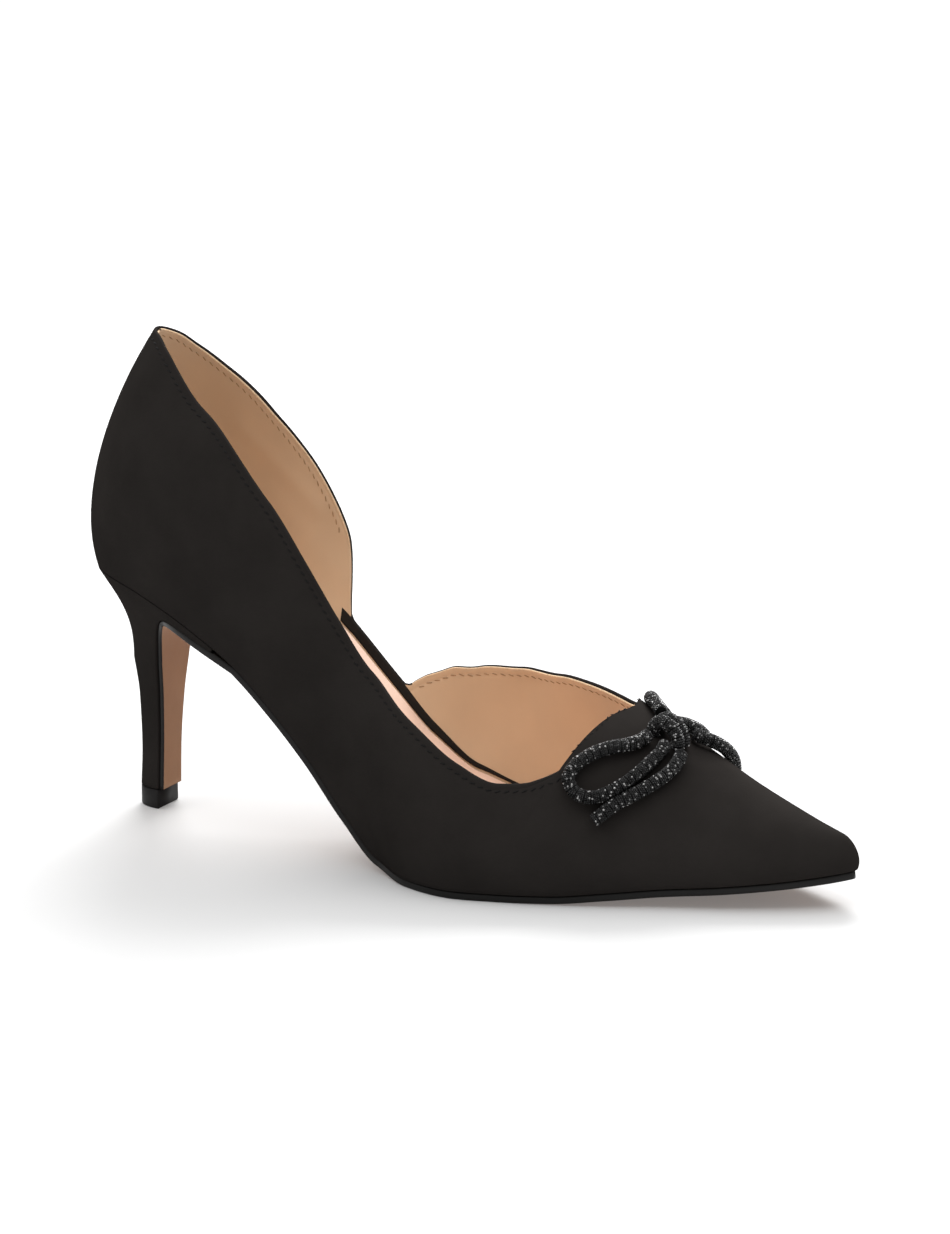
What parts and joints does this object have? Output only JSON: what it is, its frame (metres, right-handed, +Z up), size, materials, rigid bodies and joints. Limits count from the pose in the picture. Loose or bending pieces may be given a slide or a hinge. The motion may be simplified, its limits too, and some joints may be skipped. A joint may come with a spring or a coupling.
{
  "type": "pump shoe",
  "caption": "Pointed pump for the right foot in black satin, open at the inner arch, with a slim covered heel and a beaded cord bow",
  "frame": {"origin": "under the middle of the shoe, on the floor", "axes": "+X to the toe, +Y to the inner side of the foot, +Z up"},
  "size_m": [0.2318, 0.0804, 0.1396],
  "materials": {
    "satin": "black satin cloth with a soft warm sheen, outside the upper and on the heel",
    "sock": "smooth matt pink beige sock over the insole board",
    "sole_leather": "tan sole leather with a black painted gloss edge",
    "lift_rubber": "black, lightly worn",
    "beaded_cord": "black mesh tube filled with small glinting beads"
  },
  "bodies": {
    "root": {"upper": "satin", "insole": "sock", "outsole": "sole_leather", "heel": "satin", "top_lift": "lift_rubber", "bow_knot": "beaded_cord", "bow_loop_outer": "beaded_cord", "bow_tail_outer": "beaded_cord", "bow_loop_inner": "beaded_cord", "bow_tail_inner": "beaded_cord"}
  },
  "joints": []
}
